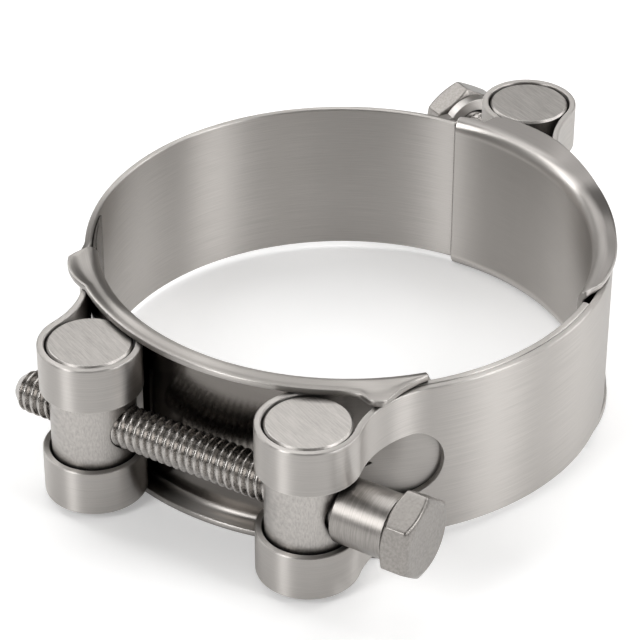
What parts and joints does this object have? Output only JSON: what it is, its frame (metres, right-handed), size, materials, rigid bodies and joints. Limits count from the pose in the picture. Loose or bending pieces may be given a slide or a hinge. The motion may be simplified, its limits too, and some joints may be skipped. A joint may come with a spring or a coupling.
{
  "type": "t bolt clamp",
  "caption": "Heavy-duty band clamp for a hose: folded half bands on trunnion barrels, with inner bridges, drawn together by hexagon-head screws.",
  "frame": {"origin": "centre of the hose bore, at half the band's width", "axes": "+Z along the hose, -Y towards the front closure, +X towards the front screw's head"},
  "size_m": [0.0784, 0.1133, 0.0274],
  "materials": {
    "strap": "stainless strip, brushed lengthwise",
    "bridge": "stainless strip, satin, folded edges polished",
    "barrel": "turned stainless bar, ends ground in one direction",
    "sleeve": "turned stainless tube, brushed round",
    "screw": "stainless screw, fine blasted head, rolled thread"
  },
  "bodies": {
    "left_half": {"left_band": "strap", "front_bridge": "bridge", "rear_lug": "strap"},
    "nut_barrel": {"nut_barrel": "barrel"},
    "sleeve": {"sleeve": "sleeve"},
    "front_bolt": {"front_bolt": "screw"},
    "rear_bolt": {"rear_bolt": "screw"},
    "rear_barrel": {"rear_barrel": "barrel"},
    "right_half": {"right_band": "strap", "rear_bridge": "bridge"},
    "plain_barrel": {"plain_barrel": "barrel"}
  },
  "joints": [
    {"name": "screw_travel", "type": "slide", "parent": "nut_barrel", "child": "sleeve", "axis": [1, 0, 0], "range_m": [0, 0.01016]},
    {"name": "front_turn", "type": "hinge", "parent": "sleeve", "child": "front_bolt", "pos_m": [0.01949, -0.042, 0], "axis": [1, 0, 0], "range_deg": [0, 2880.02]},
    {"name": "nut_pivot", "type": "hinge", "parent": "left_half", "child": "nut_barrel", "pos_m": [-0.01657, -0.042, 0], "axis": [0, 0, 1], "range_deg": [-1.49, 0]},
    {"name": "rear_turn", "type": "hinge", "parent": "left_half", "child": "rear_bolt", "pos_m": [0.00433, 0.04951, 0], "axis": [-0.891, 0.454, 0], "range_deg": [0, 1440.02]},
    {"name": "rear_travel", "type": "slide", "parent": "left_half", "child": "rear_barrel", "axis": [0.891, -0.454, 0], "range_m": [0, 0.00509]},
    {"name": "rear_swing", "type": "hinge", "parent": "rear_barrel", "child": "right_half", "pos_m": [0.00433, 0.04951, 0], "axis": [0, 0, 1], "range_deg": [0, 3.54]},
    {"name": "plain_pivot", "type": "hinge", "parent": "right_half", "child": "plain_barrel", "pos_m": [0.01949, -0.042, 0], "axis": [0, 0, 1], "range_deg": [-5.03, 0]}
  ],
  "couplings": [
    {"joint": "front_turn", "follows": "screw_travel", "rad_per_m": 4947.4},
    {"joint": "nut_pivot", "follows": "screw_travel", "rad_per_m": -2.549},
    {"joint": "rear_turn", "follows": "screw_travel", "rad_per_m": 2473.7},
    {"joint": "rear_travel", "follows": "screw_travel", "ratio": 0.5},
    {"joint": "rear_swing", "follows": "screw_travel", "rad_per_m": 6.0776},
    {"joint": "plain_pivot", "follows": "screw_travel", "rad_per_m": -8.6266}
  ]
}
